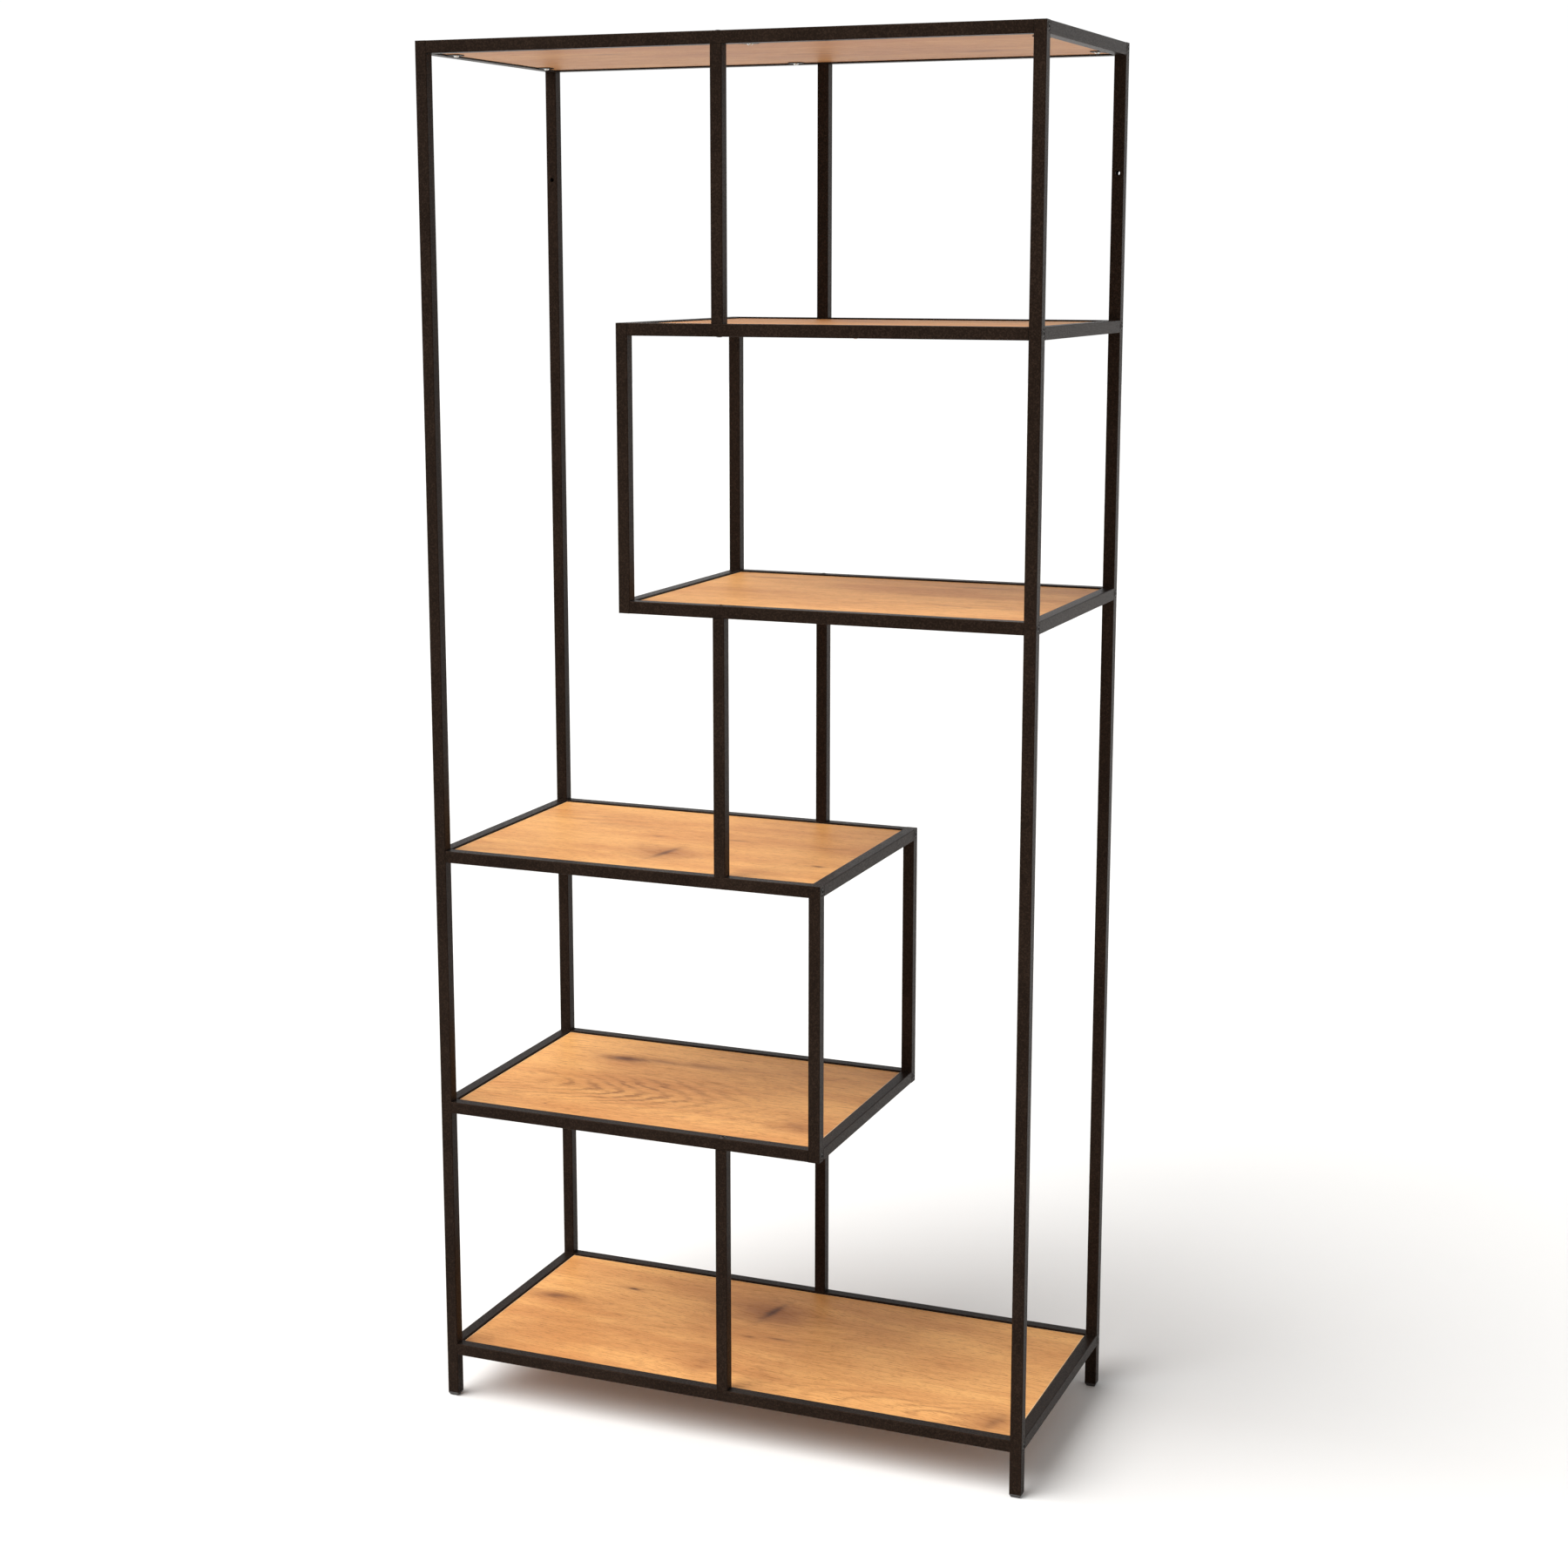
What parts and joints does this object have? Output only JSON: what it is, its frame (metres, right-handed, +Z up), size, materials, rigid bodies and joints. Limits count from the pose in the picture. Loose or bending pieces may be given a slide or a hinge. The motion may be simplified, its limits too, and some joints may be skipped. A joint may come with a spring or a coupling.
{
  "type": "open bookcase",
  "caption": "Tall open bookcase: square steel tube frame with two offset boxes and fixed wood-decor boards, bolted together, on glides.",
  "frame": {"origin": "centre of the footprint, on the floor", "axes": "+Z up, +X to the right seen from the front, +Y to the rear"},
  "size_m": [0.842, 0.38, 1.851],
  "materials": {
    "frame_coat": "fine textured powder coat, near-black brown",
    "oak_decor": "matt wild-oak decor, grain along X",
    "board_edging": "matt oak-tone edging strip",
    "dark_bolt": "black oxide",
    "zinc_screw": "bright zinc",
    "plain_steel": "plain",
    "glide_plastic": "moulded black"
  },
  "bodies": {
    "root": {"board_bottom": "oak_decor", "board_edgings": "board_edging", "board_lower_box_floor": "oak_decor", "board_lower_box_top": "oak_decor", "board_screws": "zinc_screw", "board_tabs_bottom": "frame_coat", "board_tabs_lower_box_floor": "frame_coat", "board_tabs_lower_box_top": "frame_coat", "board_tabs_top": "frame_coat", "board_tabs_upper_box_floor": "frame_coat", "board_tabs_upper_box_top": "frame_coat", "board_top": "oak_decor", "board_upper_box_floor": "oak_decor", "board_upper_box_top": "oak_decor", "bolt_sleeves": "plain_steel", "box_frame_bolts": "dark_bolt", "centre_post_bolts": "dark_bolt", "foot_glides": "glide_plastic", "front_centre_post_high": "frame_coat", "front_centre_post_low": "frame_coat", "front_centre_post_middle": "frame_coat", "front_rail_bottom": "frame_coat", "front_rail_lower_box_floor": "frame_coat", "front_rail_lower_box_top": "frame_coat", "front_rail_top": "frame_coat", "front_rail_upper_box_floor": "frame_coat", "front_rail_upper_box_top": "frame_coat", "left_front_post": "frame_coat", "left_rear_post": "frame_coat", "left_side_rail_bottom": "frame_coat", "left_side_rail_lower_box_floor": "frame_coat", "left_side_rail_lower_box_top": "frame_coat", "left_side_rail_top": "frame_coat", "lower_box_front_post": "frame_coat", "lower_box_rear_post": "frame_coat", "lower_box_side_rail_floor": "frame_coat", "lower_box_side_rail_top": "frame_coat", "post_end_plates": "frame_coat", "rear_centre_post_high": "frame_coat", "rear_centre_post_low": "frame_coat", "rear_centre_post_middle": "frame_coat", "rear_rail_bottom": "frame_coat", "rear_rail_lower_box_floor": "frame_coat", "rear_rail_lower_box_top": "frame_coat", "rear_rail_top": "frame_coat", "rear_rail_upper_box_floor": "frame_coat", "rear_rail_upper_box_top": "frame_coat", "right_front_post": "frame_coat", "right_rear_post": "frame_coat", "right_side_rail_bottom": "frame_coat", "right_side_rail_top": "frame_coat", "right_side_rail_upper_box_floor": "frame_coat", "right_side_rail_upper_box_top": "frame_coat", "side_frame_bolts": "dark_bolt", "threaded_inserts": "plain_steel", "upper_box_front_post": "frame_coat", "upper_box_rear_post": "frame_coat", "upper_box_side_rail_floor": "frame_coat", "upper_box_side_rail_top": "frame_coat"}
  },
  "joints": []
}
